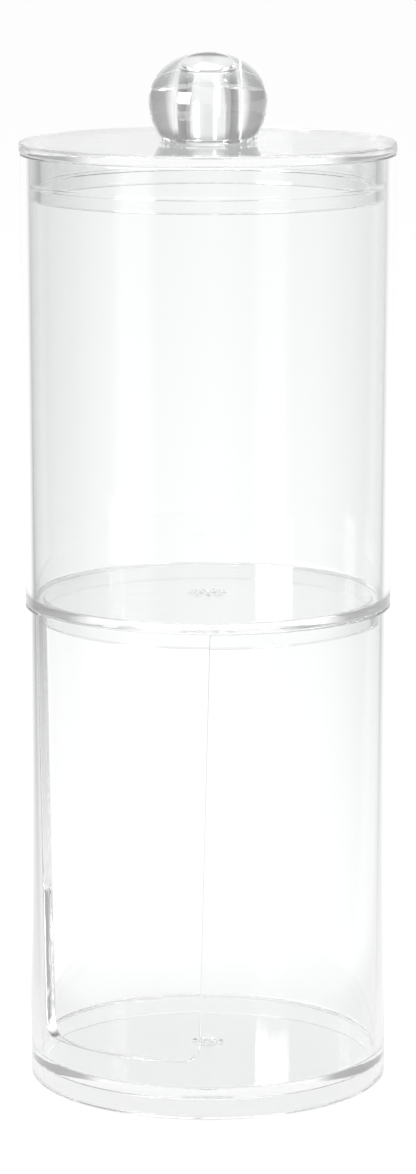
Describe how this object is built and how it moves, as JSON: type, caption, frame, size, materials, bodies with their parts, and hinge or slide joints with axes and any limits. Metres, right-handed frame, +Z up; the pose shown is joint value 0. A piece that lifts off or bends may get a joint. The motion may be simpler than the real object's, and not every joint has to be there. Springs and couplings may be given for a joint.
{
  "type": "cotton swab holder",
  "caption": "Two-tier round holder in clear plastic: a lidded upper jar with a ball knob plugs onto a lower jar with a tall window cut in its wall.",
  "frame": {"origin": "centre of the foot ring's underside, on the table, on the common axis of the jars", "axes": "+Z up along the jars' axis, -Y through the middle of the lower jar's window, +X to the right for someone facing the window"},
  "size_m": [0.0948, 0.0948, 0.2629],
  "materials": {
    "clear_plastic": "polished, clear injection-moulded polystyrene",
    "clear_knob": "polished, clear injection-moulded polystyrene, thick"
  },
  "bodies": {
    "lower_tier": {"lower_jar": "clear_plastic"},
    "upper_tier": {"upper_jar": "clear_plastic"},
    "lid_and_knob": {"lid": "clear_plastic", "knob": "clear_knob"}
  },
  "joints": [
    {"name": "upper_tier_lift", "type": "slide", "parent": "lower_tier", "child": "upper_tier", "axis": [0, 0, 1], "range_m": [0, 0.1]},
    {"name": "lid_lift", "type": "slide", "parent": "upper_tier", "child": "lid_and_knob", "axis": [0, 0, 1], "range_m": [0, 0.1]}
  ]
}
